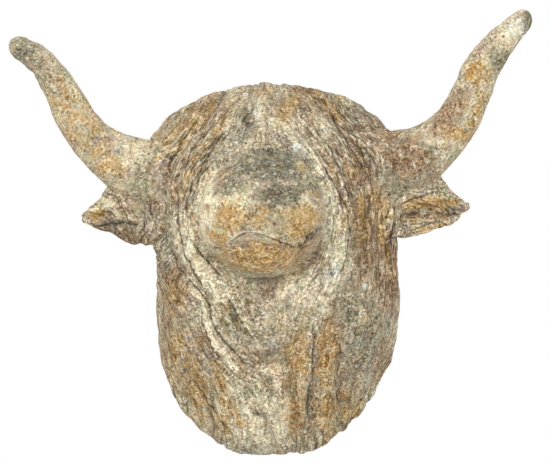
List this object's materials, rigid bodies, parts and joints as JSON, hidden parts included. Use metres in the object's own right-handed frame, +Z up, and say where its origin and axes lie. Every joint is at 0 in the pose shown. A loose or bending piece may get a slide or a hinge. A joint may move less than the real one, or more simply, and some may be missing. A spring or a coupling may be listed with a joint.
{
  "type": "cow head wall sculpture",
  "caption": "Weathered carved stone cow head with swept horns, short ears, a round muzzle and combed hair, hollowed behind for an iron hanging bar.",
  "frame": {"origin": "middle of the iron bar that the head hangs by, in the hollow of its back", "axes": "+X to the viewer's right along the horns, +Y into the wall, +Z up"},
  "size_m": [0.6111, 0.2241, 0.5224],
  "materials": {
    "head_stone": "matte",
    "horn_stone": "matte",
    "ear_stone": "matte",
    "mortar": "matte",
    "iron": "matte"
  },
  "bodies": {
    "root": {"head": "head_stone", "left_horn": "horn_stone", "right_horn": "horn_stone", "left_ear": "ear_stone", "right_ear": "ear_stone", "left_horn_bed": "mortar", "right_horn_bed": "mortar", "left_ear_bed": "mortar", "right_ear_bed": "mortar", "left_bar_plug": "mortar", "right_bar_plug": "mortar", "left_horn_rod": "iron", "right_horn_rod": "iron", "left_ear_pin": "iron", "right_ear_pin": "iron", "hanging_bar": "iron"}
  },
  "joints": []
}
